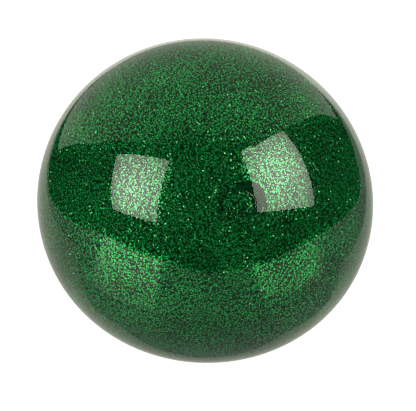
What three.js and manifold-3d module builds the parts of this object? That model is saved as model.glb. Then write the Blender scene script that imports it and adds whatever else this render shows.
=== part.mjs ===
// A glitter squeeze ball: a soft clear skin, filled with clear gel and glitter and closed by a plug.
// It stands under its own weight, so it is a heavy drop with a flat foot and not a sphere.
// Millimetres, +Z up. The origin is the middle of the foot, on the surface that the ball stands on.

import * as THREE from "three";
import { mergeVertices } from "three/addons/utils/BufferGeometryUtils.js";
import Module from "manifold-3d";

// The ball.
const FREE_DIAMETER = 60; // as a round ball, before it is set down
const SAG = 0.15; // the gel's weight against the pull of the skin, 0 for a ball that stays round
const SKIN_WALL = 1.2; // of the clear skin
const GLITTER_DEPTH = 0.6; // of the outermost glitter, which lies against the skin
const GAP = 0.3; // between neighbouring pieces

// The plug, which is pushed in from outside until its flange springs open behind the wall.
const PLUG_TURN = THREE.MathUtils.degToRad(54); // between the plug's axis and +Z
const PLUG_AZIMUTH = THREE.MathUtils.degToRad(-74.5); // of the plug's axis, from +X towards +Y
const STEM_RADIUS = 2.4;
const FLANGE_RADIUS = 4;
const FLANGE_DEPTH = 0.8;
const TAIL_RADIUS = 1.4;
const TAIL_DEPTH = 1.2;

// How finely the surfaces are divided.
const OUTER_FACETS = { around: 64, down: 32 };
const INNER_FACETS = { around: 40, down: 20 };
const PLUG_FACETS = 32;
const OUTLINE_STEPS = 400; // of the sum that follows the outline down from the crown
const MERGE_DISTANCE = 1e-4;

// The shape of the ball.

// A point of a heavy drop's outline, for a crown with a radius of 1: how far it is from the axis and
// below the crown where the outline has turned by this angle, from 0 on the crown to pi at the foot.
// The skin pulls evenly, so its curvatures along and across add up to the gel's pressure, which
// grows with the depth.
function dropPoint(turn) {
  const slope = (angle, radius, depth) => {
    const across = radius > 0 ? Math.sin(angle) / radius : 1;
    const along = 2 + SAG * depth - across;
    return { radius: Math.cos(angle) / along, depth: Math.sin(angle) / along };
  };
  const step = turn / OUTLINE_STEPS;
  let radius = 0;
  let depth = 0;
  for (let i = 0; i < OUTLINE_STEPS; i += 1) {
    const angle = i * step;
    const start = slope(angle, radius, depth);
    const middle = slope(
      angle + step / 2,
      radius + (start.radius * step) / 2,
      depth + (start.depth * step) / 2,
    );
    radius += middle.radius * step;
    depth += middle.depth * step;
  }
  return { radius, depth };
}

// The volume inside an outline of drop points, as a stack of cone slices.
function volumeInside(points) {
  return points.slice(1).reduce((sum, low, i) => {
    const high = points[i];
    const squares = high.radius ** 2 + high.radius * low.radius + low.radius ** 2;
    return sum + (Math.PI / 3) * squares * (low.depth - high.depth);
  }, 0);
}

const turns = (count) => Array.from({ length: count + 1 }, (_, i) => (Math.PI * i) / count);
const crownToFoot = turns(OUTLINE_STEPS).map(dropPoint);
const freeVolume = (Math.PI / 6) * FREE_DIAMETER ** 3;
const CROWN_RADIUS = Math.cbrt(freeVolume / volumeInside(crownToFoot));
const HEIGHT = CROWN_RADIUS * crownToFoot.at(-1).depth;

// A point of the ball's outline, this far under its surface, as a distance from the axis and a height.
function outlinePoint(turn, inset = 0) {
  const { radius, depth } = dropPoint(turn);
  return new THREE.Vector2(
    CROWN_RADIUS * radius - inset * Math.sin(turn),
    HEIGHT - CROWN_RADIUS * depth - inset * Math.cos(turn),
  );
}

// The ball's shape, this far under its surface, as a closed geometry with its flat foot.
function ballGeometry(inset, facets) {
  const rim = turns(facets.down).slice(1).map((turn) => outlinePoint(turn, inset));
  const crown = new THREE.Vector2(0, HEIGHT - inset);
  const footCentre = new THREE.Vector2(0, inset);
  return turned([footCentre, ...rim.reverse(), crown], facets.around);
}

// An outline turned about +Z. Its points run upwards, from the axis and back to it.
function turned(outline, around) {
  return new THREE.LatheGeometry(outline, around).rotateX(Math.PI / 2);
}

// The plug's place: the surface point where the wall faces along the plug's axis.
const plugSeat = outlinePoint(PLUG_TURN);
const plugPlace = new THREE.Matrix4().makeRotationZ(PLUG_AZIMUTH)
  .multiply(new THREE.Matrix4().makeTranslation(plugSeat.x, 0, plugSeat.y))
  .multiply(new THREE.Matrix4().makeRotationY(PLUG_TURN));

// Solids.

const wasm = await Module();
wasm.setup();

// A closed geometry as a solid that can be joined and cut.
function solidFrom(geometry) {
  const bare = geometry.clone();
  bare.deleteAttribute("normal");
  bare.deleteAttribute("uv");
  const merged = mergeVertices(bare, MERGE_DISTANCE);
  return new wasm.Manifold(
    new wasm.Mesh({
      numProp: 3,
      vertProperties: merged.attributes.position.array,
      triVerts: new Uint32Array(merged.index.array),
    }),
  );
}

// A solid as a geometry again.
function geometryFrom(solid) {
  const { vertProperties, triVerts } = solid.getMesh();
  const geometry = new THREE.BufferGeometry();
  geometry.setAttribute("position", new THREE.BufferAttribute(vertProperties, 3));
  geometry.setIndex(new THREE.BufferAttribute(triVerts, 1));
  geometry.computeVertexNormals();
  return geometry;
}

// A round hole for the plug, as the solid to take away: this wide, from outside the ball to this
// far under its surface.
function plugHole(radius, depth) {
  const above = FREE_DIAMETER / 10;
  const hole = new THREE.CylinderGeometry(radius, radius, above + depth, PLUG_FACETS)
    .rotateX(Math.PI / 2)
    .translate(0, 0, (above - depth) / 2)
    .applyMatrix4(plugPlace);
  return solidFrom(hole);
}

// The pieces, from outside to inside.

const stemHole = STEM_RADIUS + GAP;
const flangePocket = FLANGE_RADIUS + GAP;
const flangeTop = SKIN_WALL + GAP;
const flangeBottom = flangeTop + FLANGE_DEPTH;
const tailEnd = flangeBottom + TAIL_DEPTH;
const glitterTop = SKIN_WALL + GAP;
const gelTop = glitterTop + GLITTER_DEPTH + GAP;

// The clear skin: an even wall all round, with the hole that the ball is filled through.
function skinGeometry() {
  const outside = solidFrom(ballGeometry(0, OUTER_FACETS));
  const inside = solidFrom(ballGeometry(SKIN_WALL, INNER_FACETS));
  return geometryFrom(outside.subtract(inside).subtract(plugHole(stemHole, SKIN_WALL * 2)));
}

// The glitter against the skin, as one even layer that is open round the plug.
function glitterGeometry() {
  const outside = solidFrom(ballGeometry(glitterTop, INNER_FACETS));
  const inside = solidFrom(ballGeometry(glitterTop + GLITTER_DEPTH, INNER_FACETS));
  return geometryFrom(outside.subtract(inside).subtract(plugHole(flangePocket, tailEnd + GAP)));
}

// The gel, with a pocket where the plug's flange and tail reach into it.
function gelGeometry() {
  const body = solidFrom(ballGeometry(gelTop, INNER_FACETS));
  return geometryFrom(body.subtract(plugHole(flangePocket, tailEnd + GAP)));
}

// How far the ball curves away from a flat face, at this distance from the face's middle.
function fallAway(radius) {
  return radius ** 2 / FREE_DIAMETER;
}

// The plug: a face flush with the ball, a stem through the wall, a flange behind it and a short tail.
function plugGeometry() {
  const outline = [
    [0, -tailEnd],
    [TAIL_RADIUS, -tailEnd],
    [TAIL_RADIUS, -flangeBottom - fallAway(TAIL_RADIUS)],
    [FLANGE_RADIUS, -flangeBottom - fallAway(FLANGE_RADIUS)],
    [FLANGE_RADIUS, -flangeTop - fallAway(FLANGE_RADIUS)],
    [STEM_RADIUS, -flangeTop - fallAway(STEM_RADIUS)],
    [STEM_RADIUS, -fallAway(STEM_RADIUS)],
    [0, 0],
  ];
  return turned(outline.map(([x, y]) => new THREE.Vector2(x, y)), PLUG_FACETS);
}

function piece(name, geometry, material) {
  const mesh = new THREE.Mesh(geometry, material);
  mesh.name = name;
  return mesh;
}

const clearRubber = { roughness: 0.08, metalness: 0, transparent: true };
const ball = new THREE.Group();

ball.add(piece(
  "outer_skin",
  skinGeometry(),
  new THREE.MeshStandardMaterial({ ...clearRubber, color: 0xd9e6dc, opacity: 0.3 }),
));

const plug = piece(
  "fill_plug",
  plugGeometry(),
  new THREE.MeshStandardMaterial({ ...clearRubber, color: 0xc4d6c8, opacity: 0.5 }),
);
plug.applyMatrix4(plugPlace);
ball.add(plug);

ball.add(piece(
  "glitter_layer",
  glitterGeometry(),
  new THREE.MeshStandardMaterial({ color: 0x178a45, roughness: 0.35, metalness: 0.7 }),
));

ball.add(piece(
  "gel_fill",
  gelGeometry(),
  new THREE.MeshStandardMaterial({ color: 0x04300f, roughness: 0.15, metalness: 0 }),
));

export default ball;
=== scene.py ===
"""A glitter squeeze ball: clear rubber skin, fill plug, green gel and the glitter that floats in it."""

import logging
import math
from dataclasses import dataclass
from enum import Enum
from functools import cached_property

import bpy
import numpy as np
from mathutils import Matrix, Vector


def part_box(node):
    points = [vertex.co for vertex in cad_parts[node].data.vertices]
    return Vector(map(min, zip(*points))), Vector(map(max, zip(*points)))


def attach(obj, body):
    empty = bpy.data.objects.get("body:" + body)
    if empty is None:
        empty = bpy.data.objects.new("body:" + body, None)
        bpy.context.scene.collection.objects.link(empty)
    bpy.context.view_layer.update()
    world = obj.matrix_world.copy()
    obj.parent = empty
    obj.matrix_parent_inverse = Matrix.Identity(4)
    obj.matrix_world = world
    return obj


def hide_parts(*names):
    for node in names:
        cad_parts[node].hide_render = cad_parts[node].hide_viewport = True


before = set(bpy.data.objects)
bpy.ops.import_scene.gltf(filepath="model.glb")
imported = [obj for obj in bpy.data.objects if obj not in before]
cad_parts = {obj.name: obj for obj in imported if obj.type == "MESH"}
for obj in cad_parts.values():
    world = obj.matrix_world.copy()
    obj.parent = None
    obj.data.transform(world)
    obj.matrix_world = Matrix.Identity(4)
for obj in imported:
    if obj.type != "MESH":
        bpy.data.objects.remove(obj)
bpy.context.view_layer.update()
MM = 0.001
EDGE_STEPS = 4  # facets across a rounded edge
FACE_MAP = "face"  # the map of where a point lies on a stage sheet

Colour = tuple[float, float, float]

log = logging.getLogger("glitter_ball")


# ---------------------------------------------------------------------------------------------
# The shape of the ball.


@dataclass(frozen=True)
class HeavyDrop:
    """The shape of a soft ball on a table: a drop whose skin pulls evenly, with a flat foot.

    Attributes:
        sag: The gel's weight against the pull of the skin.
        width: The ball's greatest width, in metres.
        pole_turn: How far the outline has turned from the crown where the rings of a mesh start.
        pole_azimuth: The rings' start, from +X towards +Y, in radians.
        lean: How far the ball leans towards -X for each metre of height.
        steps: How many steps the outline is summed in.
    """

    sag: float
    width: float
    pole_turn: float = math.radians(54)
    pole_azimuth: float = math.radians(-74.5)
    lean: float = 0.0164
    steps: int = 1440

    @cached_property
    def surface(self) -> tuple[np.ndarray, np.ndarray, np.ndarray]:
        """Follows the outline down from the crown.

        Returns:
            The outline's turns, distances from the axis and heights.
        """

        def slope(turn: float, radius: float, depth: float) -> np.ndarray:
            """How the outline goes on, for a crown with a radius of 1.

            Args:
                turn: How far the outline has turned from the crown, in radians.
                radius: The distance from the axis.
                depth: The depth below the crown.

            Returns:
                The growth of the distance and of the depth for each radian of turn.
            """
            across = math.sin(turn) / radius if radius > 0 else 1.0
            along = 2 + self.sag * depth - across
            return np.array((math.cos(turn) / along, math.sin(turn) / along))

        turns = np.linspace(0, math.pi, self.steps + 1)
        step = turns[1]
        points = np.zeros((self.steps + 1, 2))
        for i, turn in enumerate(turns[:-1]):
            start = slope(turn, *points[i])
            middle = slope(turn + step / 2, *(points[i] + start * step / 2))
            points[i + 1] = points[i] + middle * step
        points *= self.width / 2 / points[:, 0].max()
        return turns, points[:, 0], points[-1, 1] - points[:, 1]

    def outline(self, inset: float) -> tuple[np.ndarray, np.ndarray]:
        """The distances from the axis and the heights of the outline this far under the surface."""
        turns, radius, height = self.surface
        return radius - inset * np.sin(turns), height - inset * np.cos(turns)

    @cached_property
    def height(self) -> float:
        """The height of the crown, in metres."""
        return float(self.surface[2][0])

    @cached_property
    def seat(self) -> Vector:
        """The surface point that the rings of a mesh start from.

        Returns:
            The point on the upright ball.
        """
        turns, radius, height = self.surface
        r = float(np.interp(self.pole_turn, turns, radius))
        z = float(np.interp(self.pole_turn, turns, height))
        return Vector((r * math.cos(self.pole_azimuth), r * math.sin(self.pole_azimuth), z))

    def pole(self) -> Matrix:
        """The frame at the seat, with +Z out of the ball."""
        turn = Matrix.Rotation(self.pole_azimuth, 4, "Z") @ Matrix.Rotation(self.pole_turn, 4, "Y")
        return Matrix.Translation(self.seat) @ turn

    @cached_property
    def heart(self) -> float:
        """The height where the line into the ball from the seat meets the ball's axis."""
        return self.seat.z - math.hypot(self.seat.x, self.seat.y) / math.tan(self.pole_turn)

    @cached_property
    def radius(self) -> float:
        """How far the seat is from the heart, in metres."""
        return (self.seat - Vector((0, 0, self.heart))).length

    def reach(self, ways: np.ndarray, inset: float) -> np.ndarray:
        """Where lines from the heart meet the surface that lies this far under the ball's.

        Args:
            ways: Unit vectors, one a row.
            inset: How far under the ball's surface, in metres.

        Returns:
            The points, one a row.
        """
        heart = self.heart
        radius, height = self.outline(inset)
        angle = np.arctan2(radius, height - heart)
        polar = np.arctan2(np.hypot(ways[:, 0], ways[:, 1]), ways[:, 2])
        far = np.interp(polar, angle, np.hypot(radius, height - heart))
        below = polar > angle[-1]
        far[below] = (heart - inset) / -ways[below, 2]
        return ways * far[:, None] + np.array((0, 0, heart))

    def settle(self, points: np.ndarray) -> np.ndarray:
        """Leans points of the upright ball to the side that the real one has slumped to.

        Args:
            points: The points, one a row.

        Returns:
            The moved points.
        """
        moved = points.copy()
        moved[:, 0] -= self.lean * (points[:, 2] - self.height / 2)
        return moved

    def ring(self, angle: float, inset: float, around: int) -> np.ndarray:
        """A ring of surface points round the line through the seat.

        Args:
            angle: Between that line and the ring, seen from the heart, in radians.
            inset: How far under the ball's surface, in metres.
            around: How many points the ring has.

        Returns:
            The points, one a row.
        """
        spin = np.arange(around) * (2 * math.pi / around)
        ways = np.column_stack((
            math.sin(angle) * np.cos(spin),
            math.sin(angle) * np.sin(spin),
            np.full(around, math.cos(angle)),
        ))
        turn = np.array(self.pole().to_3x3())
        return self.reach(ways @ turn.T, inset)


def closed_rings(
    rings: list[np.ndarray], first: np.ndarray, last: np.ndarray
) -> tuple[np.ndarray, list[tuple[int, ...]]]:
    """Joins rings of points into one closed surface with a point at each end.

    Args:
        rings: The rings, each with as many points, from the first end to the last.
        first: The point that closes the first ring.
        last: The point that closes the last ring.

    Returns:
        The points and the faces.
    """
    around = len(rings[0])
    points = np.vstack((first, *rings, last))
    end = len(points) - 1
    faces: list[tuple[int, ...]] = []
    for k in range(around):
        after = (k + 1) % around
        faces.append((0, 1 + k, 1 + after))
        for i in range(len(rings) - 1):
            top, low = 1 + i * around, 1 + (i + 1) * around
            faces.append((top + k, low + k, low + after, top + after))
        low = 1 + (len(rings) - 1) * around
        faces.append((low + after, low + k, end))
    return points, faces


def smooth_mesh(name: str, points: np.ndarray, faces: list[tuple[int, ...]]) -> bpy.types.Mesh:
    """Makes a smooth-shaded mesh.

    Args:
        name: The mesh's name.
        points: The points, one a row.
        faces: The faces, each as the numbers of its points.

    Returns:
        The mesh.
    """
    mesh = bpy.data.meshes.new(name)
    mesh.from_pydata(points.tolist(), [], faces)
    mesh.polygons.foreach_set("use_smooth", [True] * len(mesh.polygons))
    mesh.update()
    return mesh


def dress_rings(
    piece: bpy.types.Object,
    faces: list[tuple[int, ...]],
    around: int,
    first_inside: int,
    outside: bpy.types.Material,
    inside: bpy.types.Material,
) -> None:
    """Gives a piece made of rings one material outside and one where gel or rubber touches it.

    Args:
        piece: The piece.
        faces: Its faces, as closed_rings made them.
        around: How many points each ring has.
        first_inside: The first ring whose faces are touched.
        outside: The material of the rings before that.
        inside: The material from that ring on.
    """
    piece.data.materials.append(outside)
    piece.data.materials.append(inside)
    ring = [(max(min(face), 1) - 1) // around for face in faces]
    piece.data.polygons.foreach_set("material_index", [int(r >= first_inside) for r in ring])


def add_piece(name: str, mesh: bpy.types.Mesh) -> bpy.types.Object:
    """Links a new object to the scene.

    Args:
        name: The object's name.
        mesh: The object's mesh.

    Returns:
        The object.
    """
    piece = bpy.data.objects.new(name, mesh)
    bpy.context.scene.collection.objects.link(piece)
    return piece


class Ray(Enum):
    """The kinds of rays that an object can be hidden from."""

    CAMERA = "camera"
    DIFFUSE = "diffuse"
    GLOSSY = "glossy"
    SHADOW = "shadow"
    TRANSMISSION = "transmission"


def hide_from(piece: bpy.types.Object, *rays: Ray) -> None:
    """Hides an object from these kinds of rays."""
    for ray in rays:
        setattr(piece, f"visible_{ray.value}", False)


@dataclass(frozen=True)
class Pocket:
    """The room that a layer leaves for the plug.

    Attributes:
        radius: Of the pocket, in metres.
        deeper: How much deeper the layer lies in it, in metres.
        slope: How wide the pocket's side is, in metres.
    """

    radius: float = 4.3 * MM
    deeper: float = 0.95 * MM
    slope: float = 0.5 * MM

    def at(self, distance: float) -> float:
        """How much deeper the layer lies at this distance from the plug's axis."""
        share = min(max((self.radius + self.slope - distance) / self.slope, 0), 1)
        return self.deeper * share * share * (3 - 2 * share)


def layer_mesh(drop: HeavyDrop, name: str, depth: float, pocket: Pocket, facet: float) -> bpy.types.Mesh:
    """Builds a closed surface inside the ball, with a pocket for the plug.

    Args:
        drop: The ball's shape.
        name: The mesh's name.
        depth: How far the surface lies under the ball's, in metres.
        pocket: The room for the plug.
        facet: How wide the facets are, in metres.

    Returns:
        The mesh, with its faces pointing out.
    """
    around = int(2 * math.pi * drop.radius / facet)
    angles = np.linspace(0, math.pi, around // 2 + 1)
    depths = [depth + pocket.at(angle * drop.radius) for angle in angles]
    rings = [drop.ring(angle, inset, around) for angle, inset in zip(angles[1:-1], depths[1:-1])]
    first = drop.ring(0, depths[0], 1)
    last = drop.ring(math.pi, depths[-1], 1)
    points, faces = closed_rings(rings, first, last)
    return smooth_mesh(name, drop.settle(points), faces)


# ---------------------------------------------------------------------------------------------
# Finishes.


def new_material(name: str) -> tuple[bpy.types.Material, bpy.types.NodeTree, bpy.types.Node]:
    """Makes a material that holds a Principled BSDF and an output.

    Args:
        name: The material's name.

    Returns:
        The material, its node tree and its Principled BSDF.
    """
    material = bpy.data.materials.new(name)
    material.use_nodes = True
    tree = material.node_tree
    return material, tree, tree.nodes["Principled BSDF"]


@dataclass(frozen=True)
class ClearRubber:
    """Clear, glossy rubber that bends what is seen through it and lets the lamps' light in unbent.

    Attributes:
        name: The material's name.
        ior: How strongly the rubber bends light.
        roughness: How much it blurs what it mirrors.
    """

    name: str
    ior: float = 1.46
    roughness: float = 0.0

    def build(self) -> bpy.types.Material:
        """Builds the material.

        Returns:
            The finished material.
        """
        material, tree, rubber = new_material(self.name)
        rubber.inputs["Base Color"].default_value = (1, 1, 1, 1)
        rubber.inputs["Transmission Weight"].default_value = 1
        rubber.inputs["IOR"].default_value = self.ior
        rubber.inputs["Roughness"].default_value = self.roughness
        clear = tree.nodes.new("ShaderNodeBsdfTransparent")
        path = tree.nodes.new("ShaderNodeLightPath")
        mix = tree.nodes.new("ShaderNodeMixShader")
        tree.links.new(path.outputs["Is Shadow Ray"], mix.inputs["Fac"])
        tree.links.new(rubber.outputs["BSDF"], mix.inputs[1])
        tree.links.new(clear.outputs["BSDF"], mix.inputs[2])
        tree.links.new(mix.outputs["Shader"], tree.nodes["Material Output"].inputs["Surface"])
        return material


@dataclass(frozen=True)
class WettedRubber:
    """A clear face that gel or other clear rubber touches, so that nothing bends or shines there."""

    name: str

    def build(self) -> bpy.types.Material:
        """Builds the material.

        Returns:
            The finished material.
        """
        material, _, rubber = new_material(self.name)
        rubber.inputs["Alpha"].default_value = 0
        return material


@dataclass(frozen=True)
class MattGlitter:
    """Dyed plastic glitter without foil, which scatters the light that falls on it.

    Attributes:
        name: The material's name.
        colour: The plastic's colour.
        roughness: How matt it is.
    """

    name: str
    colour: Colour
    roughness: float = 0.6

    def build(self) -> bpy.types.Material:
        """Builds the material.

        Returns:
            The finished material.
        """
        material, _, flake = new_material(self.name)
        flake.inputs["Base Color"].default_value = (*self.colour, 1)
        flake.inputs["Roughness"].default_value = self.roughness
        flake.inputs["Specular IOR Level"].default_value = 0
        return material


@dataclass(frozen=True)
class GlitterFoil:
    """Metallised foil under a dyed film, which mirrors and also scatters a little.

    Attributes:
        name: The material's name.
        colour: The film's colour.
        roughness: How much the foil blurs what it mirrors.
        mirror: The share of the light that the foil mirrors, not scatters.
    """

    name: str
    colour: Colour
    roughness: float = 0.25
    mirror: float = 0.65

    def build(self) -> bpy.types.Material:
        """Builds the material.

        Returns:
            The finished material.
        """
        material, _, foil = new_material(self.name)
        foil.inputs["Base Color"].default_value = (*self.colour, 1)
        foil.inputs["Metallic"].default_value = self.mirror
        foil.inputs["Specular IOR Level"].default_value = 0
        foil.inputs["Roughness"].default_value = self.roughness
        return material


@dataclass(frozen=True)
class GreenGel:
    """Dark green gel, with the glitter deeper in it as small cells of darker and lighter green.

    Attributes:
        name: The material's name.
        dark: The darkest cells' colour.
        light: The lightest cells' colour.
        cell: How far apart the cells are, in metres.
        roughness: How matt the gel looks.
        specular: How strongly it shines.
    """

    name: str
    dark: Colour = (0.0, 0.004, 0.001)
    light: Colour = (0.003, 0.09, 0.02)
    cell: float = 0.25 * MM
    roughness: float = 0.5
    specular: float = 0.1

    def build(self) -> bpy.types.Material:
        """Builds the material.

        Returns:
            The finished material.
        """
        material, tree, gel = new_material(self.name)
        place = tree.nodes.new("ShaderNodeTexCoord")
        cells = tree.nodes.new("ShaderNodeTexVoronoi")
        cells.inputs["Scale"].default_value = 1 / self.cell
        ramp = tree.nodes.new("ShaderNodeValToRGB")
        ramp.color_ramp.elements[0].color = (*self.dark, 1)
        ramp.color_ramp.elements[1].color = (*self.light, 1)
        tree.links.new(place.outputs["Object"], cells.inputs["Vector"])
        tree.links.new(cells.outputs["Color"], ramp.inputs["Fac"])
        tree.links.new(ramp.outputs["Color"], gel.inputs["Base Color"])
        gel.inputs["Roughness"].default_value = self.roughness
        gel.inputs["Specular IOR Level"].default_value = self.specular
        return material


# ---------------------------------------------------------------------------------------------
# The pieces.


@dataclass
class ClearSkin:
    """The clear rubber skin: an even wall all round, with the hole that the ball is filled through.

    Attributes:
        drop: The ball's shape.
        wall: The wall's thickness, in metres.
        hole: The hole's radius, in metres.
        edge: The radius that rounds the hole's outer edge, in metres.
        around: Facets round the line through the hole.
        down: Facets from the hole to the far side.
        crowding: How strongly the rings crowd round the hole; 1 spaces them evenly.
        finish: The finish of the outside.
        wetted: The finish of the faces that gel touches.
    """

    drop: HeavyDrop
    wall: float = 1.2 * MM
    hole: float = 2.41 * MM
    edge: float = 0.075 * MM
    around: int = 256
    down: int = 150
    crowding: float = 1.15
    finish: ClearRubber = ClearRubber("clear_skin_gloss")
    wetted: WettedRubber = WettedRubber("clear_skin_inside")

    def build(self) -> bpy.types.Object:
        """Builds the skin from rings round the line through its hole.

        Returns:
            The skin, riding on the root.
        """
        reach = self.drop.radius
        mouth = self.hole / reach
        lip = (self.hole + self.edge) / reach
        angles = lip + (math.pi - lip) * (np.arange(self.down) / self.down) ** self.crowding
        beside_lip = lip + self.edge / reach
        angles = np.insert(angles, 1, beside_lip)
        inner = np.linspace(mouth, math.pi, self.down // 2 + 1)[:-1]
        lip_rings = [
            self.drop.ring(
                (self.hole + self.edge * (1 - math.sin(a))) / reach,
                self.edge * (1 - math.cos(a)),
                self.around,
            )
            for a in np.linspace(0, math.pi / 2, EDGE_STEPS + 1)[1:]
        ]
        outside = [self.drop.ring(a, 0, self.around) for a in angles[::-1]]
        inside = [self.drop.ring(a, self.wall, self.around) for a in inner]
        first = self.drop.ring(math.pi, 0, 1)
        last = self.drop.ring(math.pi, self.wall, 1)
        points, faces = closed_rings(outside + lip_rings + inside, first, last)
        faces = [face[::-1] for face in faces]
        mesh = smooth_mesh("clear_rubber_skin", self.drop.settle(points), faces)
        skin = add_piece("clear_rubber_skin", mesh)
        first_inside = len(outside) + len(lip_rings) // 2
        dress_rings(skin, faces, self.around, first_inside, self.finish.build(), self.wetted.build())
        hide_from(skin, Ray.DIFFUSE)
        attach(skin, "root")
        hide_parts("outer_skin")
        return skin


@dataclass
class FillPlug:
    """The plug: a face flush with the ball, a stem through the wall, a flange behind it and a tail.

    Attributes:
        drop: The ball's shape.
        stem: The stem's radius, in metres.
        flange: The flange's radius, in metres.
        tail: The tail's radius, in metres.
        flange_top: How deep the flange starts, in metres.
        flange_bottom: How deep the flange ends, in metres.
        tail_end: How deep the tail ends, in metres.
        edge: The radius that rounds the edges, in metres.
        around: Facets round the plug.
        face_rings: Rings on the plug's face, inside its rounded edge.
        finish: The finish of the face.
        wetted: The finish of everything that gel or the skin touches.
    """

    drop: HeavyDrop
    stem: float = 2.4 * MM
    flange: float = 4.0 * MM
    tail: float = 1.4 * MM
    flange_top: float = 1.5 * MM
    flange_bottom: float = 2.3 * MM
    tail_end: float = 3.5 * MM
    edge: float = 0.075 * MM
    around: int = 96
    face_rings: int = 4
    finish: ClearRubber = ClearRubber("clear_plug_face")
    wetted: WettedRubber = WettedRubber("clear_plug_body")

    def _profile(self) -> np.ndarray:
        """Draws the plug's half outline, from the middle of its face to the end of its tail.

        Returns:
            Distances from the axis and heights, one point a row.
        """
        path = [
            (0.0, 0.0),
            (self.stem, 0.0),
            (self.stem, -self.flange_top),
            (self.flange, -self.flange_top),
            (self.flange, -self.flange_bottom),
            (self.tail, -self.flange_bottom),
            (self.tail, -self.tail_end),
            (0.0, -self.tail_end),
        ]
        face = np.linspace(0, self.stem - 2 * self.edge, self.face_rings + 1)[1:]
        points = [(r, 0.0) for r in face]
        for before, here, after in zip(map(Vector, path), map(Vector, path[1:]), map(Vector, path[2:])):
            start = here - (here - before).normalized() * self.edge
            end = here + (after - here).normalized() * self.edge
            for t in np.linspace(0, 1, EDGE_STEPS + 1):
                bend = start.lerp(here, t).lerp(here.lerp(end, t), t)
                points.append((bend.x, bend.y))
        return np.array(points)

    def build(self) -> bpy.types.Object:
        """Builds the plug, with its face following the ball's surface.

        Returns:
            The plug, riding on the root.
        """
        reach = self.drop.radius
        spin = np.arange(self.around) * (2 * math.pi / self.around)
        rings = []
        for r, z in self._profile():
            fall = z - r * r / reach / 2
            height = np.full(self.around, fall)
            rings.append(np.column_stack((r * np.cos(spin), r * np.sin(spin), height)))
        first, last = np.zeros((1, 3)), np.array([[0, 0, -self.tail_end]])
        points, faces = closed_rings(rings, first, last)
        place = np.array(self.drop.pole())
        points = points @ place[:3, :3].T + place[:3, 3]
        plug = add_piece("clear_plug", smooth_mesh("clear_plug", self.drop.settle(points), faces))
        first_inside = self.face_rings + EDGE_STEPS - 1
        dress_rings(plug, faces, self.around, first_inside, self.finish.build(), self.wetted.build())
        hide_from(plug, Ray.DIFFUSE)
        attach(plug, "root")
        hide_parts("fill_plug")
        return plug


@dataclass
class GelBody:
    """The gel, as the surface behind the outermost glitter.

    Attributes:
        drop: The ball's shape.
        depth: How far the gel's surface lies under the ball's, in metres.
        pocket: The room that it leaves for the plug.
        facet: How wide its facets are, in metres.
        finish: The gel's finish.
    """

    drop: HeavyDrop
    depth: float = 2.25 * MM
    pocket: Pocket = Pocket(deeper=1.5 * MM)
    facet: float = 0.8 * MM
    finish: GreenGel = GreenGel("dark_green_gel")

    def build(self) -> bpy.types.Object:
        """Builds the gel.

        Returns:
            The gel, riding on the root.
        """
        mesh = layer_mesh(self.drop, "green_gel", self.depth, self.pocket, self.facet)
        gel = add_piece("green_gel", mesh)
        gel.data.materials.append(self.finish.build())
        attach(gel, "root")
        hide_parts("gel_fill")
        return gel


@dataclass(frozen=True)
class FlakeLot:
    """Square flakes of one colour.

    Attributes:
        name: The piece's name.
        foil: The flakes' finish.
        count: About how many there are.
        tilt: The most that a flake is tilted from the skin, in radians.
        depth: The least and the most depth under the ball's surface, in metres.
        seed: The seed of the flakes' places and tilts.
        bias: How strongly the tilts keep to the small ones; 1 spreads them evenly.
        clouding: How much the flakes gather in clouds, from 0, even, to 1.
        across: A flake's size from corner to corner, in metres.
    """

    name: str
    foil: GlitterFoil | MattGlitter
    count: int
    tilt: float
    depth: tuple[float, float]
    seed: int
    bias: float = 1.0
    clouding: float = 0.0
    across: float = 0.225 * MM


@dataclass(frozen=True)
class BareCrescent:
    """The crescent beside the plug where no glitter lies against the skin.

    Attributes:
        outer: The middle and the radius of the round patch that is bare.
        inner: The middle and the radius of the disc inside it that isn't.
    """

    outer: tuple[Vector, float]
    inner: tuple[Vector, float]


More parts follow.
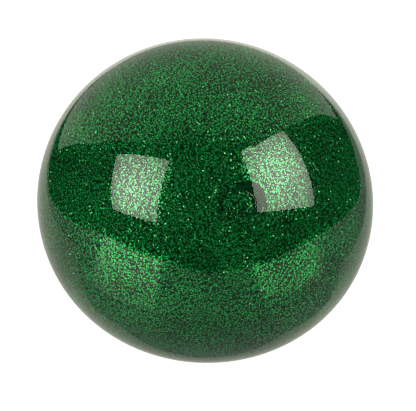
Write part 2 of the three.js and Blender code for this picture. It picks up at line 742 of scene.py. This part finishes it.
class GlitterTree:
    """The Geometry Nodes tree that scatters flakes over a surface."""

    INPUTS = {
        "Geometry": "NodeSocketGeometry",
        "Flakes per square metre": "NodeSocketFloat",
        "Across": "NodeSocketFloat",
        "Most tilt": "NodeSocketFloat",
        "Tilt bias": "NodeSocketFloat",
        "Depth spread": "NodeSocketFloat",
        "Cloud scale": "NodeSocketFloat",
        "Thin": "NodeSocketFloat",
        "Crowded": "NodeSocketFloat",
        "Bare middle": "NodeSocketVector",
        "Bare radius": "NodeSocketFloat",
        "Kept middle": "NodeSocketVector",
        "Kept radius": "NodeSocketFloat",
        "Pocket radius": "NodeSocketFloat",
        "Pocket depth": "NodeSocketFloat",
        "Seed": "NodeSocketInt",
        "Foil": "NodeSocketMaterial",
    }
    CORNERS = 4  # of a flake
    SMALLEST, LARGEST = 0.7, 1.3  # flakes, against the size asked for
    SIZE_SEED = 7
    TILT_SEED = 1000  # on top of the lot's own seed
    THINNEST_AT, FULLEST_AT = 0.3, 0.7  # of the noise that gathers the flakes in clouds

    def __init__(self) -> None:
        """Builds the tree."""
        self.tree = bpy.data.node_groups.new("scatter_square_flakes", "GeometryNodeTree")
        sockets = self.tree.interface
        self._keys = {
            name: sockets.new_socket(name, in_out="INPUT", socket_type=kind).identifier
            for name, kind in self.INPUTS.items()
        }
        sockets.new_socket("Geometry", in_out="OUTPUT", socket_type="NodeSocketGeometry")
        self._given = self._node("NodeGroupInput").outputs
        self._flakes(self._points())

    def _node(
        self, kind: str, inputs: dict[int | str, object] | None = None, **settings: object
    ) -> bpy.types.Node:
        """Adds a node.

        Args:
            kind: The node's type.
            inputs: Its inputs by number or name, each a plain value or the socket that gives it.
            settings: Its properties.

        Returns:
            The node.
        """
        node = self.tree.nodes.new(kind)
        for key, value in settings.items():
            setattr(node, key, value)
        for key, value in (inputs or {}).items():
            if isinstance(value, bpy.types.NodeSocket):
                self.tree.links.new(value, node.inputs[key])
            else:
                node.inputs[key].default_value = value
        return node

    def _math(self, operation: str, *terms: object) -> bpy.types.NodeSocket:
        """Adds a calculation with terms that are numbers or sockets, and returns its result."""
        return self._node("ShaderNodeMath", dict(enumerate(terms)), operation=operation).outputs[0]

    def _test(self, value: object, operation: str, limit: object) -> bpy.types.NodeSocket:
        """Adds a comparison of a value with a limit, and returns whether it holds."""
        inputs = {0: value, 1: limit}
        return self._node("FunctionNodeCompare", inputs, data_type="FLOAT", operation=operation).outputs[0]

    def _random(self, least: float, most: object, seed: object) -> bpy.types.NodeSocket:
        """Adds a random number for each flake, between the least and the most, and returns it."""
        inputs = {2: least, 3: most, "Seed": seed}
        return self._node("FunctionNodeRandomValue", inputs, data_type="FLOAT").outputs[1]

    def _away(self, middle: bpy.types.NodeSocket) -> bpy.types.NodeSocket:
        """Adds and returns each flake's distance from a point."""
        inputs = {0: self._node("GeometryNodeInputPosition").outputs[0], 1: middle}
        return self._node("ShaderNodeVectorMath", inputs, operation="DISTANCE").outputs["Value"]

    def _points(self) -> bpy.types.Node:
        """Spreads points over the surface, and gathers them in clouds.

        Returns:
            The node that spreads them.
        """
        given = self._given
        clouds = self._node("ShaderNodeTexNoise", {"Detail": 1, "Scale": given["Cloud scale"]})
        gather = self._node("ShaderNodeMapRange", {
            "Value": clouds.outputs["Fac"],
            "From Min": self.THINNEST_AT,
            "From Max": self.FULLEST_AT,
            "To Min": given["Thin"],
            "To Max": given["Crowded"],
        })
        density = self._math("MULTIPLY", gather.outputs["Result"], given["Flakes per square metre"])
        return self._node("GeometryNodeDistributePointsOnFaces", {
            "Mesh": given["Geometry"], "Density": density, "Seed": given["Seed"],
        })

    def _sunk(self, points: bpy.types.Node) -> bpy.types.NodeSocket:
        """Clears the crescent, and sinks each of the other points to its own depth.

        Args:
            points: The node that spreads the points.

        Returns:
            The points.
        """
        given = self._given
        from_plug = self._away(given["Kept middle"])
        in_patch = self._test(self._away(given["Bare middle"]), "LESS_THAN", given["Bare radius"])
        off_disc = self._test(from_plug, "GREATER_THAN", given["Kept radius"])
        under_plug = self._test(from_plug, "LESS_THAN", given["Pocket radius"])
        crescent = self._node("FunctionNodeBooleanMath", {0: in_patch, 1: off_disc}, operation="AND")
        cleared = self._node(
            "GeometryNodeDeleteGeometry",
            {"Geometry": points.outputs["Points"], "Selection": crescent.outputs[0]},
            domain="POINT",
        )
        sink = self._random(0, given["Depth spread"], given["Seed"])
        depth = self._math("MULTIPLY_ADD", under_plug, given["Pocket depth"], sink)
        inward = self._node(
            "ShaderNodeVectorMath",
            {0: points.outputs["Normal"], "Scale": self._math("MULTIPLY", depth, -1)},
            operation="SCALE",
        )
        return self._node("GeometryNodeSetPosition", {
            "Geometry": cleared.outputs["Geometry"], "Offset": inward.outputs["Vector"],
        }).outputs["Geometry"]

    def _turned(self, flat: bpy.types.NodeSocket) -> bpy.types.NodeSocket:
        """Spins and tilts each flake.

        Args:
            flat: The rotation that lays a flake flat.

        Returns:
            The flake's rotation.
        """
        given = self._given
        chance = self._random(0, 1, self._math("ADD", given["Seed"], self.TILT_SEED))
        biased = self._math("POWER", chance, given["Tilt bias"])
        tilt = self._math("MULTIPLY", biased, given["Most tilt"])
        spin = self._random(0, 2 * math.pi, given["Seed"])
        angles = self._node("ShaderNodeCombineXYZ", {"X": tilt, "Z": spin}).outputs[0]
        turn = self._node("FunctionNodeEulerToRotation", {0: angles}).outputs[0]
        return self._node(
            "FunctionNodeRotateRotation", {0: flat, 1: turn}, rotation_space="LOCAL"
        ).outputs[0]

    def _flakes(self, points: bpy.types.Node) -> None:
        """Puts a flake on each point.

        Args:
            points: The node that spreads the points.
        """
        given = self._given
        radius = self._math("MULTIPLY", given["Across"], 0.5)
        flake = self._node(
            "GeometryNodeMeshCircle", {"Vertices": self.CORNERS, "Radius": radius}, fill_type="NGON"
        )
        scatter = self._node("GeometryNodeInstanceOnPoints", {
            "Points": self._sunk(points),
            "Instance": flake.outputs["Mesh"],
            "Rotation": self._turned(points.outputs["Rotation"]),
            "Scale": self._random(self.SMALLEST, self.LARGEST, self.SIZE_SEED),
        })
        real = self._node("GeometryNodeRealizeInstances", {"Geometry": scatter.outputs["Instances"]})
        dress = self._node("GeometryNodeSetMaterial", {
            "Geometry": real.outputs["Geometry"], "Material": given["Foil"],
        })
        self._node("NodeGroupOutput", {"Geometry": dress.outputs["Geometry"]})

    def scatter(self, carrier: bpy.types.Object, values: dict[str, object]) -> bpy.types.Mesh:
        """Scatters flakes over a surface.

        Args:
            carrier: The object whose surface carries the flakes.
            values: The tree's inputs by name.

        Returns:
            The flakes as one plain mesh.
        """
        modifier = carrier.modifiers.new("glitter", "NODES")
        modifier.node_group = self.tree
        for name, value in values.items():
            modifier[self._keys[name]] = value
        graph = bpy.context.evaluated_depsgraph_get()
        made = bpy.data.meshes.new_from_object(carrier.evaluated_get(graph), depsgraph=graph)
        carrier.modifiers.remove(modifier)
        return made


@dataclass
class Glitter:
    """All the flakes that lie against the skin.

    Attributes:
        drop: The ball's shape.
        lots: The flakes, one lot for each piece.
        crescent: Where no glitter lies.
        pocket: The room that the flakes leave for the plug.
        cloud: How wide a cloud of flakes is, in metres.
        facet: How wide the facets of the surface that carries the flakes are, in metres.
    """

    drop: HeavyDrop
    lots: tuple[FlakeLot, ...]
    crescent: BareCrescent
    pocket: Pocket = Pocket()
    cloud: float = 7.0 * MM
    facet: float = 1.2 * MM

    def build(self) -> list[bpy.types.Object]:
        """Returns one piece for each lot, riding on the root."""
        tree = GlitterTree()
        return [self._scatter(tree, lot) for lot in self.lots]

    def _scatter(self, tree: GlitterTree, lot: FlakeLot) -> bpy.types.Object:
        """Makes one lot's piece.

        Args:
            tree: The tree that scatters the flakes.
            lot: The flakes.

        Returns:
            The piece.
        """
        surface = layer_mesh(self.drop, "carrier", lot.depth[0], Pocket(deeper=0), self.facet)
        carrier = add_piece("carrier", surface)
        mesh = tree.scatter(carrier, {
            "Flakes per square metre": lot.count / sum(face.area for face in surface.polygons),
            "Across": lot.across,
            "Most tilt": lot.tilt,
            "Tilt bias": lot.bias,
            "Depth spread": lot.depth[1] - lot.depth[0],
            "Cloud scale": 1 / self.cloud,
            "Thin": 1 - lot.clouding,
            "Crowded": 1 + lot.clouding,
            "Bare middle": self.crescent.outer[0],
            "Bare radius": self.crescent.outer[1],
            "Kept middle": self.crescent.inner[0],
            "Kept radius": self.crescent.inner[1],
            "Pocket radius": self.pocket.radius,
            "Pocket depth": self.pocket.deeper,
            "Seed": lot.seed,
            "Foil": lot.foil.build(),
        })
        bpy.data.objects.remove(carrier)
        mesh.name = lot.name
        piece = add_piece(lot.name, mesh)
        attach(piece, "root")
        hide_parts("glitter_layer")
        return piece


# ---------------------------------------------------------------------------------------------
# The studio.


class Easing(Enum):
    """How a card's glow goes from one strength to the other."""

    STEADY = "LINEAR"
    SMOOTH = "SMOOTHSTEP"


@dataclass(frozen=True)
class Fade:
    """How a card's glow fades along a measure.

    Attributes:
        start: The measure where the fading starts.
        end: The measure where it ends.
        first: The strength up to the start.
        last: The strength from the end on.
        easing: How it goes from the one to the other.
    """

    start: float
    end: float
    first: float
    last: float
    easing: Easing = Easing.SMOOTH

    def drive(
        self, tree: bpy.types.NodeTree, measure: bpy.types.NodeSocket, glow: bpy.types.Node
    ) -> None:
        """Makes the strength of a glow follow the measure.

        Args:
            tree: The card's node tree.
            measure: The socket that gives the measure.
            glow: The card's Emission shader.
        """
        fade = tree.nodes.new("ShaderNodeMapRange")
        fade.interpolation_type = self.easing.value
        fade.inputs["From Min"].default_value = self.start
        fade.inputs["From Max"].default_value = self.end
        fade.inputs["To Min"].default_value = self.first
        fade.inputs["To Max"].default_value = self.last
        tree.links.new(measure, fade.inputs["Value"])
        tree.links.new(fade.outputs["Result"], glow.inputs["Strength"])


@dataclass(frozen=True)
class Glow:
    """A stage card that glows: in gloss on the ball's skin, and in the foil behind it.

    Attributes:
        name: The material's name.
        gloss: How bright it is in the skin.
        foil: How bright and what colour it is in the foil.
        gloss_blue: The share of blue in the skin.
    """

    name: str
    gloss: float
    foil: Colour
    gloss_blue: float = 0.88

    def build(self) -> tuple[bpy.types.Material, bpy.types.NodeTree, bpy.types.Node]:
        """Makes the material, with the strength of its glow left free.

        Returns:
            The material, its node tree and its Emission shader.
        """
        material = bpy.data.materials.new(self.name)
        material.use_nodes = True
        material.cycles.emission_sampling = "NONE"
        tree = material.node_tree
        tree.nodes.remove(tree.nodes["Principled BSDF"])
        glow = tree.nodes.new("ShaderNodeEmission")
        path = tree.nodes.new("ShaderNodeLightPath")
        mix = tree.nodes.new("ShaderNodeMix")
        mix.data_type = "RGBA"
        in_skin, in_foil = mix.inputs[6], mix.inputs[7]
        in_skin.default_value = (self.gloss, self.gloss, self.gloss_blue * self.gloss, 1)
        in_foil.default_value = (*self.foil, 1)
        tree.links.new(path.outputs["Is Transmission Ray"], mix.inputs[0])
        tree.links.new(mix.outputs[2], glow.inputs["Color"])
        tree.links.new(glow.outputs[0], tree.nodes["Material Output"].inputs["Surface"])
        return material, tree, glow


def stage_sheet(
    name: str, corners: list[tuple[float, float, float]], faces: list[tuple[int, ...]]
) -> bpy.types.Object:
    """Adds a sheet that belongs to the stage.

    Args:
        name: The sheet's name.
        corners: Its corners, in metres.
        faces: Its faces, each as the numbers of its corners.

    Returns:
        The sheet.
    """
    mesh = bpy.data.meshes.new(name)
    mesh.from_pydata(corners, [], faces)
    sheet = add_piece(name, mesh)
    return sheet


def face_map(sheet: bpy.types.Object, shares: list[tuple[float, float]]) -> None:
    """Gives a sheet a map of where on it each corner lies.

    Args:
        sheet: The sheet.
        shares: Each corner's place across and along, from 0 to 1.
    """
    layer = sheet.data.uv_layers.new(name=FACE_MAP)
    for loop, uv in zip(sheet.data.loops, layer.data):
        uv.uv = shares[loop.vertex_index]


def read_face_map(tree: bpy.types.NodeTree) -> bpy.types.NodeSocket:
    """Adds the node that reads a sheet's map.

    Args:
        tree: The sheet's node tree.

    Returns:
        The place on the sheet.
    """
    reader = tree.nodes.new("ShaderNodeUVMap")
    reader.uv_map = FACE_MAP
    return reader.outputs[0]


def swing(first: Vector, second: Vector, angle: float) -> tuple[Vector, Vector]:
    """Turns two square directions in their own plane, the first towards the second."""
    turned = first * math.cos(angle) + second * math.sin(angle)
    return turned, second * math.cos(angle) - first * math.sin(angle)


@dataclass(frozen=True)
class Softbox:
    """A square softbox that faces the ball.

    Attributes:
        name: The lamp's name.
        azimuth: From +Y, clockwise seen from above, in degrees.
        elevation: Above the horizon, in degrees.
        roll: About the line to the ball, in degrees.
        yaw: Turned away from the ball sideways, in degrees.
        pitch: Turned away from the ball upwards, in degrees.
        size: Width and height, in metres.
        distance: From the middle of the ball, in metres.
        radiance: How strongly it lights matt surfaces, where white paper in full light is 1.
        glow: How bright its face is in gloss and foil.
        fade: How the face fades from its middle outwards.
    """

    name: str
    azimuth: float
    elevation: float
    roll: float
    yaw: float
    pitch: float
    size: tuple[float, float]
    distance: float = 0.5
    radiance: float = 5.0
    glow: Glow = Glow("softbox_face", 5.5, (11.0, 2.6, 4.0))
    fade: Fade = Fade(start=0, end=0.75, first=1.2, last=0.55)

    def build(self, middle: Vector) -> None:
        """Hangs the softbox round the ball, as a lamp and as the bright face that is mirrored.

        Args:
            middle: The middle of the ball.
        """
        azimuth, elevation = math.radians(self.azimuth), math.radians(self.elevation)
        out = Vector((
            math.sin(azimuth) * math.cos(elevation),
            math.cos(azimuth) * math.cos(elevation),
            math.sin(elevation),
        ))
        side = Vector((0, 0, 1)).cross(out).normalized()
        up = out.cross(side)
        side, facing = swing(side, out, math.radians(self.yaw))
        up, _ = swing(up, facing, math.radians(self.pitch))
        side, up = swing(side, up, math.radians(self.roll))
        centre = middle + out * self.distance
        self._lamp(centre, side, up)
        self._face(centre, side, up)

    def _lamp(self, centre: Vector, side: Vector, up: Vector) -> None:
        """Adds the lamp, which lights but isn't mirrored.

        Args:
            centre: The softbox's middle.
            side: The direction of its width.
            up: The direction of its height.
        """
        lamp = bpy.data.lights.new(self.name, "AREA")
        lamp.shape = "RECTANGLE"
        lamp.size, lamp.size_y = self.size
        lamp.energy = self.radiance * math.pi * self.size[0] * self.size[1]
        box = bpy.data.objects.new(self.name, lamp)
        bpy.context.scene.collection.objects.link(box)
        box.matrix_world = Matrix((side, up, side.cross(up))).transposed().to_4x4()
        box.location = centre
        hide_from(box, Ray.CAMERA, Ray.GLOSSY, Ray.TRANSMISSION)

    def _face(self, centre: Vector, side: Vector, up: Vector) -> None:
        """Adds the bright face, which is mirrored but doesn't light.

        Args:
            centre: The softbox's middle.
            side: The direction of its width.
            up: The direction of its height.
        """
        half = (side * self.size[0] / 2, up * self.size[1] / 2)
        corners = [centre + half[0] * a + half[1] * b for a, b in ((-1, -1), (1, -1), (1, 1), (-1, 1))]
        face = stage_sheet(f"{self.name}_face", [tuple(c) for c in corners], [(0, 1, 2, 3)])
        face_map(face, [(0, 0), (1, 0), (1, 1), (0, 1)])
        material, tree, glow = self.glow.build()
        away = tree.nodes.new("ShaderNodeVectorMath")
        away.operation = "DISTANCE"
        away.inputs[1].default_value = (0.5, 0.5, 0)
        tree.links.new(read_face_map(tree), away.inputs[0])
        self.fade.drive(tree, away.outputs["Value"], glow)
        face.data.materials.append(material)
        hide_from(face, Ray.CAMERA, Ray.DIFFUSE, Ray.SHADOW)


@dataclass(frozen=True)
class PaintedLightPool:
    """A painted pool of light: a glowing sheet that makes a patch of the table brighter, and fades towards
    its near side.

    Attributes:
        name: The sheet's name.
        corners: Its far left, far right, near right and near left corner, in millimetres.
        gloss: How bright it is in the skin.
        foil: How bright and what colour it is in the foil.
        fade: How it fades, from 0 at the far side to 1 at the near one.
        under: How far it lies under the ball's foot, in millimetres.
        across: How many facets it has from left to right.
        along: How many facets it has from the far side to the near one.
    """

    name: str
    corners: tuple[tuple[float, float], ...]
    gloss: float
    foil: Colour
    fade: Fade
    under: float
    across: int = 12
    along: int = 24

    def build(self) -> None:
        """Lays the pool on the table."""
        far_left, far_right, near_right, near_left = (Vector(corner) for corner in self.corners)
        points, shares, faces = [], [], []
        for j in range(self.along + 1):
            for i in range(self.across + 1):
                u, v = i / self.across, j / self.along
                at = far_left.lerp(far_right, u).lerp(near_left.lerp(near_right, u), v)
                points.append((at.x * MM, at.y * MM, -self.under * MM))
                shares.append((u, v))
        row = self.across + 1
        for j in range(self.along):
            for i in range(self.across):
                k = j * row + i
                faces.append((k, k + 1, k + row + 1, k + row))
        sheet = stage_sheet(self.name, points, faces)
        face_map(sheet, shares)
        material, tree, glow = Glow(self.name, self.gloss, self.foil).build()
        split = tree.nodes.new("ShaderNodeSeparateXYZ")
        tree.links.new(read_face_map(tree), split.inputs[0])
        self.fade.drive(tree, split.outputs["Y"], glow)
        sheet.data.materials.append(material)
        hide_from(sheet, Ray.CAMERA, Ray.DIFFUSE, Ray.SHADOW)


@dataclass
class Studio:
    """The white table, the slanted diffuser behind it, two softboxes, and the camera.

    Attributes:
        middle: The middle of the ball.
        elevation: Of the camera above the horizon, in degrees.
        distance: Of the camera from what it is aimed at, in metres.
        view_width: How wide the view is at that distance, in metres.
        aim_right: How far right of the ball's middle the camera is aimed, in metres.
        aim_down: How far below the ball's middle the camera is aimed, in metres.
        room: How bright the dark room is.
        floor_half: Half the floor's width, in metres.
        floor_grey: The floor's colour.
        floor_glow: How brightly the floor glows of itself.
        table_grey: The table's colour.
        table_roughness: How matt the table is.
        table_under: How far the table lies under the ball's foot, in metres.
        diffuser_half: Half the diffuser's width, in metres.
    """

    middle: Vector
    elevation: float = 36.0
    distance: float = 0.4444
    view_width: float = 75.8 * MM
    aim_right: float = 0.54 * MM
    aim_down: float = 2.34 * MM
    room: float = 0.01
    floor_half: float = 2.0
    floor_grey: float = 0.6
    floor_glow: float = 0.9
    table_grey: float = 0.46
    table_roughness: float = 0.6
    table_under: float = 0.2 * MM
    diffuser_half: float = 0.24

    def build(self) -> None:
        """Builds all of it."""
        self._camera()
        self._world()
        self._floor()
        self._table()
        # The glowing sheets that paint pools of light on the table.
        for pool in PAINTED_LIGHT_POOLS:
            pool.build()
        self._diffuser()
        for softbox in SOFTBOXES:
            softbox.build(self.middle)

    def _camera(self) -> None:
        """Sets the camera up above the front of the ball."""
        rise = math.radians(self.elevation)
        back = Vector((0, -math.cos(rise), math.sin(rise)))
        up = Vector((0, math.sin(rise), math.cos(rise)))
        aim = self.middle + Vector((self.aim_right, 0, 0)) - up * self.aim_down
        camera = bpy.data.cameras.new("camera")
        camera.sensor_width = 36
        camera.lens = camera.sensor_width * self.distance / self.view_width
        camera.clip_start = 0.01
        holder = bpy.data.objects.new("camera", camera)
        bpy.context.scene.collection.objects.link(holder)
        holder.location = aim + back * self.distance
        holder.rotation_euler = (-back).to_track_quat("-Z", "Y").to_euler()
        bpy.context.scene.camera = holder

    def _world(self) -> None:
        """White for the camera, and a dark room for everything else."""
        world = bpy.data.worlds.new("studio")
        world.use_nodes = True
        tree = world.node_tree
        shown = tree.nodes["Background"]
        shown.inputs["Color"].default_value = (1, 1, 1, 1)
        room = tree.nodes.new("ShaderNodeBackground")
        room.inputs["Color"].default_value = (self.room, self.room, self.room, 1)
        path = tree.nodes.new("ShaderNodeLightPath")
        mix = tree.nodes.new("ShaderNodeMixShader")
        tree.links.new(path.outputs["Is Camera Ray"], mix.inputs["Fac"])
        tree.links.new(room.outputs["Background"], mix.inputs[1])
        tree.links.new(shown.outputs["Background"], mix.inputs[2])
        tree.links.new(mix.outputs["Shader"], tree.nodes["World Output"].inputs["Surface"])
        bpy.context.scene.world = world
        bpy.context.scene.view_settings.view_transform = "Standard"

    def _floor(self) -> None:
        """The pale floor that the camera sees."""
        half = self.floor_half
        corners = [(-half, -half, 0), (half, -half, 0), (half, half, 0), (-half, half, 0)]
        floor = stage_sheet("floor", corners, [(0, 1, 2, 3)])
        material, _, matt = new_material("pale_floor")
        matt.inputs["Base Color"].default_value = (self.floor_grey, self.floor_grey, self.floor_grey, 1)
        matt.inputs["Roughness"].default_value = 1
        matt.inputs["Specular IOR Level"].default_value = 0
        matt.inputs["Emission Color"].default_value = (1, 1, 1, 1)
        matt.inputs["Emission Strength"].default_value = self.floor_glow
        floor.data.materials.append(material)
        hide_from(floor, Ray.GLOSSY, Ray.DIFFUSE, Ray.TRANSMISSION, Ray.SHADOW)

    def _table(self) -> None:
        """The white table top that the ball mirrors."""
        corners = [(x * MM, y * MM, -self.table_under) for x, y in TABLE_EDGE]
        table = stage_sheet("table_top", corners, [tuple(range(len(corners)))])
        material, _, top = new_material("white_table")
        top.inputs["Base Color"].default_value = (self.table_grey, self.table_grey, self.table_grey, 1)
        top.inputs["Roughness"].default_value = self.table_roughness
        table.data.materials.append(material)
        hide_from(table, Ray.CAMERA, Ray.SHADOW)

    def _diffuser(self) -> None:
        """The bright sheet that slants over the ball from behind."""
        corners = []
        for (y0, z0), (y1, z1) in zip(DIFFUSER_LEFT, DIFFUSER_RIGHT):
            corners.append((-self.diffuser_half, y0 * MM, z0 * MM + self.middle.z))
            corners.append((self.diffuser_half, y1 * MM, z1 * MM + self.middle.z))
        strips = range(0, len(corners) - 2, 2)
        faces = [(k, k + 1, k + 3, k + 2) for k in strips]
        sheet = stage_sheet("slanted_diffuser", corners, faces)
        material, tree, glow = Glow("diffuser_sheet", 0.52, (0.6, 0.6, 0.6)).build()
        place = tree.nodes.new("ShaderNodeTexCoord")
        split = tree.nodes.new("ShaderNodeSeparateXYZ")
        tree.links.new(place.outputs["Object"], split.inputs[0])
        DIFFUSER_FADE.drive(tree, split.outputs["Z"], glow)
        sheet.data.materials.append(material)
        hide_from(sheet, Ray.CAMERA, Ray.DIFFUSE, Ray.SHADOW)


# The table's edge, in millimetres from under the ball's middle, from its far left corner round.
TABLE_EDGE = (
    (-543, -259), (-213, -444), (20, -195), (105, -211), (284, -161), (239, -67), (189, -9),
    (145, 25), (107, 45), (109, 67), (129, 110), (133, 272), (-100, 226), (-100, 45),
)

# The diffuser's sides from its foot up: behind the ball's middle and above it, in millimetres.
DIFFUSER_LEFT = ((209, -45), (140, 35), (71, 116), (-13, 316), (-97, 517))
DIFFUSER_RIGHT = ((313, -30), (278, 14), (244, 58), (104, 203), (-60, 400))
DIFFUSER_FADE = Fade(start=0.05, end=0.45, first=1.1, last=0.1, easing=Easing.STEADY)  # with its height

# Glowing sheets that paint light on the table, seen only in the ball's gloss and foil: the left and right
# pools are painted reflections of the softboxes in the table's gloss, and the other two paint the lit
# table behind the ball and round its foot.
PAINTED_LIGHT_POOLS = (
    PaintedLightPool(
        name="left_painted_light_pool",
        corners=((-543, -259), (-213, -444), (-22, -46), (-50, -26)),
        gloss=1.3,
        foil=(2.0, 1.9, 1.8),
        fade=Fade(start=0.86, end=1, first=1, last=0.5),
        under=0.1,
    ),
    PaintedLightPool(
        name="right_painted_light_pool",
        corners=((106, -197), (188, -70), (52, -22), (30, -52)),
        gloss=0.65,
        foil=(1.2, 1.5, 1.3),
        fade=Fade(start=0.86, end=1, first=1, last=0.6),
        under=0.1,
    ),
    PaintedLightPool(
        name="painted_light_table",
        corners=((-72, 228), (120, 268), (60, -10), (-95, -20)),
        gloss=1.08,
        foil=(0.3, 0.3, 0.3),
        fade=Fade(start=0.2, end=1, first=1, last=0.5),
        under=0.06,
    ),
    PaintedLightPool(
        name="painted_light_at_foot",
        corners=((-45, -4), (50, 0), (20, -22.5), (-24, -22.5)),
        gloss=0.6,
        foil=(0.3, 0.3, 0.3),
        fade=Fade(start=0.5, end=1, first=1, last=0.85),
        under=0.03,
    ),
)

SOFTBOXES = (
    Softbox(
        name="left_softbox",
        azimuth=-119.5,
        elevation=32.3,
        roll=23.4,
        yaw=-17.0,
        pitch=-26.5,
        size=(0.352, 0.347),
    ),
    Softbox(
        name="right_softbox",
        azimuth=107.8,
        elevation=40.2,
        roll=-29.8,
        yaw=2.3,
        pitch=19.1,
        size=(0.375, 0.411),
        radiance=3.2,
    ),
)


# ---------------------------------------------------------------------------------------------
# The ball.

FOIL = GlitterFoil("bright_green_foil", (0.025, 0.8, 0.145), 0.07)
SPARK = GlitterFoil("sparkling_green_foil", (0.055, 0.8, 0.17), 0.15)
MATT = MattGlitter("matt_green_glitter", (0.002, 0.06, 0.011))
DEEP = MattGlitter("deep_green_glitter", (0.0005, 0.018, 0.003))
AGAINST_SKIN = (1.5 * MM, 1.8 * MM)

LOTS = (
    FlakeLot("flat_foil_flakes", FOIL, 76000, tilt=0.025, depth=AGAINST_SKIN, seed=11, clouding=0.35),
    FlakeLot(
        "loose_foil_flakes", SPARK, 26000, tilt=0.5, depth=AGAINST_SKIN, seed=12, bias=1.5, clouding=0.5
    ),
    FlakeLot("matt_flakes", MATT, 80000, tilt=0.9, depth=(1.55 * MM, 2.0 * MM), seed=13),
    FlakeLot("deep_flakes", DEEP, 80000, tilt=0.9, depth=(1.8 * MM, 2.1 * MM), seed=14),
)


def bare_crescent(drop: HeavyDrop) -> BareCrescent:
    """Places the bare crescent beside the plug.

    Args:
        drop: The ball's shape.

    Returns:
        The crescent.
    """
    pole = drop.pole()
    down = -1.8 * MM
    return BareCrescent(
        outer=(pole @ Vector((-0.7 * MM, 1.2 * MM, down)), 3.1 * MM),
        inner=(pole @ Vector((0, 0, down)), 2.1 * MM),
    )


def main() -> None:
    """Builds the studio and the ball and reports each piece."""
    logging.basicConfig(level=logging.INFO, format="%(name)s: %(message)s")
    low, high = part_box("outer_skin")
    drop = HeavyDrop(sag=0.15, width=high[0] - low[0])
    Studio(middle=Vector((0, 0, (high[2] + low[2]) / 2))).build()
    pieces = [ClearSkin(drop).build(), FillPlug(drop).build(), GelBody(drop).build()]
    pieces += Glitter(drop, LOTS, bare_crescent(drop)).build()
    for piece in pieces:
        log.info("%s: %d faces", piece.name, len(piece.data.polygons))


if __name__ == "__main__":
    main()
